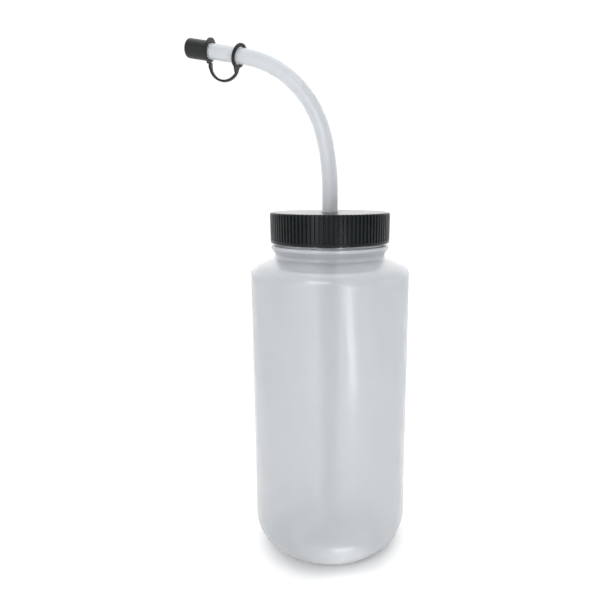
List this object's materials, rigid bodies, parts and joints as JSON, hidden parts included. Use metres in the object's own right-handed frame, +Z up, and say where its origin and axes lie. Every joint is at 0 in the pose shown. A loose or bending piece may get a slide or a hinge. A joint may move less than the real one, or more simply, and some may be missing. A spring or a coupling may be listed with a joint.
{
  "type": "wash bottle",
  "caption": "Translucent wide-mouth squeeze wash bottle with a ribbed black screw cap, a bent draw straw and a push-on tip cap on a strap.",
  "frame": {"origin": "centre of the standing ring under the base, on the surface the bottle stands on", "axes": "+Z up along the bottle's axis; the straw bends in the XZ plane and its tip points to -X"},
  "size_m": [0.1277, 0.0884, 0.2915],
  "materials": {
    "bottle_plastic": "translucent natural polyethylene, satin",
    "cap_plastic": "moulded black polypropylene, satin",
    "liner_foam": "white closed-cell foam",
    "grommet_rubber": "soft black rubber, matt",
    "straw_plastic": "translucent natural polyethylene tube, satin",
    "tether_rubber": "soft moulded black, satin"
  },
  "bodies": {
    "bottle": {"bottle": "bottle_plastic"},
    "liner": {"cap_liner": "liner_foam"},
    "cap": {"screw_cap": "cap_plastic"},
    "grommet": {"straw_grommet": "grommet_rubber"},
    "straw": {"straw": "straw_plastic"},
    "tether": {"tether_ring": "tether_rubber", "tether_strap": "tether_rubber"},
    "tip": {"tip_cap": "tether_rubber"}
  },
  "joints": [
    {"name": "cap_lift", "type": "slide", "parent": "bottle", "child": "liner", "axis": [0, 0, 1], "range_m": [0, 0.0053]},
    {"name": "cap_turn", "type": "hinge", "parent": "liner", "child": "cap", "pos_m": [0, 0, 0.188], "axis": [0, 0, 1], "range_deg": [0, 450]},
    {"name": "straw_swivel", "type": "hinge", "parent": "cap", "child": "grommet", "pos_m": [0, 0, 0.194], "axis": [0, 0, 1], "continuous": true},
    {"name": "straw_slide", "type": "slide", "parent": "grommet", "child": "straw", "axis": [0, 0, 1], "range_m": [-0.003, 0.1]},
    {"name": "tether_turn", "type": "hinge", "parent": "straw", "child": "tether", "pos_m": [-0.06078, 0, 0.28249], "axis": [-0.9826, 0, 0.1857], "continuous": true},
    {"name": "tip_cap_pull", "type": "slide", "parent": "tether", "child": "tip", "axis": [-0.9826, 0, 0.1857], "range_m": [0, 0.0135], "deforming": ["tether_strap"]}
  ],
  "couplings": [
    {"joint": "cap_lift", "follows": "cap_turn", "m_per_rad": 0.00067376}
  ]
}
